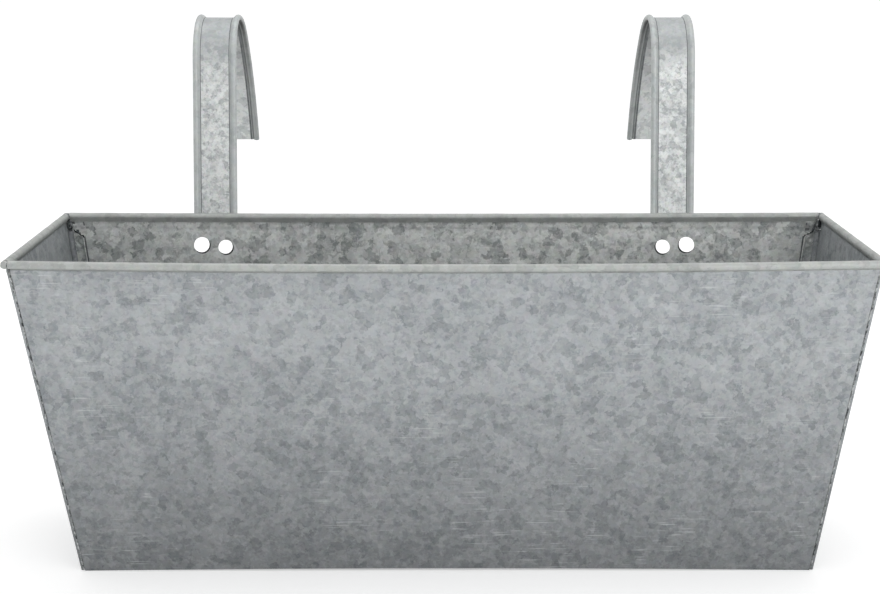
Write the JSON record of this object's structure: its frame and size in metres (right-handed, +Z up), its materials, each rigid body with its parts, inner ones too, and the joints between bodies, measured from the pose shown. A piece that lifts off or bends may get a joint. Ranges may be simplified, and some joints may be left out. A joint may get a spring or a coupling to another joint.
{
  "type": "window box planter",
  "caption": "Flared rectangular trough of galvanised sheet with a wire-rolled rim and two strap hooks that hang it over a rail.",
  "frame": {"origin": "middle of the underside of the base", "axes": "+X along the trough to the viewer's right, +Y from the front towards the rail, +Z up"},
  "size_m": [0.6, 0.363, 0.3865],
  "materials": {
    "galvanised_panel": "hot-dip galvanised sheet, dull with a fine grey mottle",
    "galvanised_base": "hot-dip galvanised sheet, dull",
    "galvanised_strap": "hot-dip galvanised strip, lighter, with a fine speckle",
    "galvanised_wire": "galvanised drawn wire",
    "rivet": "zinc-plated, domed",
    "solder": "uneven, dull dark grey"
  },
  "bodies": {
    "root": {"front_panel": "galvanised_panel", "back_panel": "galvanised_panel", "base_tray": "galvanised_base", "rim_wire": "galvanised_wire", "left_end_panel": "galvanised_panel", "front_left_corner_solder": "solder", "back_left_corner_solder": "solder", "left_hook_strap": "galvanised_strap", "left_hook_outer_wire": "galvanised_wire", "left_hook_inner_wire": "galvanised_wire", "left_hook_rivet_outer": "rivet", "left_hook_rivet_inner": "rivet", "left_hook_rivet_lower": "rivet", "right_end_panel": "galvanised_panel", "front_right_corner_solder": "solder", "back_right_corner_solder": "solder", "right_hook_strap": "galvanised_strap", "right_hook_outer_wire": "galvanised_wire", "right_hook_inner_wire": "galvanised_wire", "right_hook_rivet_outer": "rivet", "right_hook_rivet_inner": "rivet", "right_hook_rivet_lower": "rivet"}
  },
  "joints": []
}
